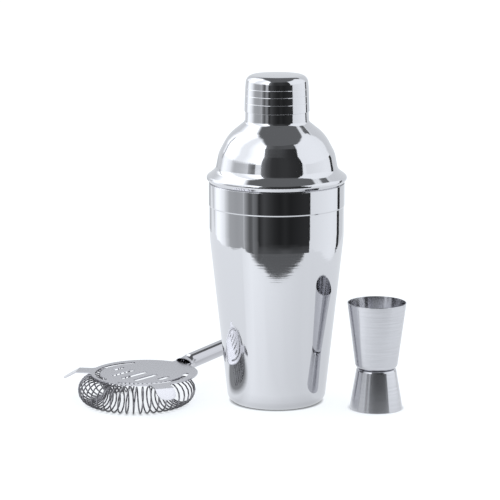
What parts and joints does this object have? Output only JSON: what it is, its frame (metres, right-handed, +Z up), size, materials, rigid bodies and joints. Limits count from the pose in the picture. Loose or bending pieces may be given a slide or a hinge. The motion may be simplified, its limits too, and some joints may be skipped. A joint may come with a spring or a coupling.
{
  "type": "cocktail shaker set",
  "caption": "Steel cocktail shaker with a built-in strainer lid and cap, a double-ended measuring jigger, and a coil-spring bar strainer with a tube handle.",
  "frame": {"origin": "centre of the shaker cup's flat base, on the table", "axes": "+Z up along the shaker's axis; the jigger stands on the +X side and the bar strainer lies on the -X side; -Y is the front"},
  "size_m": [0.2234, 0.1717, 0.215],
  "materials": {
    "polished_steel": "mirror-polished stainless steel",
    "satin_steel": "satin stainless steel",
    "spring_wire": "drawn stainless spring wire"
  },
  "bodies": {
    "cup": {"shaker_cup": "polished_steel"},
    "lid": {"strainer_lid": "polished_steel", "strainer_panel": "satin_steel"},
    "top_cap": {"cap": "polished_steel"},
    "jigger": {"jigger_small_cup": "satin_steel", "jigger_large_cup": "satin_steel"},
    "bar_strainer": {"strainer_plate": "satin_steel", "spring_coil": "spring_wire", "handle_tube": "polished_steel", "handle_end_cap": "polished_steel"}
  },
  "joints": [
    {"name": "lid_lift", "type": "slide", "parent": "cup", "child": "lid", "axis": [0, 0, 1], "range_m": [0, 0.06]},
    {"name": "cap_lift", "type": "slide", "parent": "lid", "child": "top_cap", "axis": [0, 0, 1], "range_m": [0, 0.04]},
    {"name": "jigger_lift", "type": "slide", "parent": "cup", "child": "jigger", "axis": [0, 0, 1], "range_m": [0, 0.22]},
    {"name": "strainer_lift", "type": "slide", "parent": "cup", "child": "bar_strainer", "axis": [0, 0, 1], "range_m": [0, 0.22]}
  ]
}
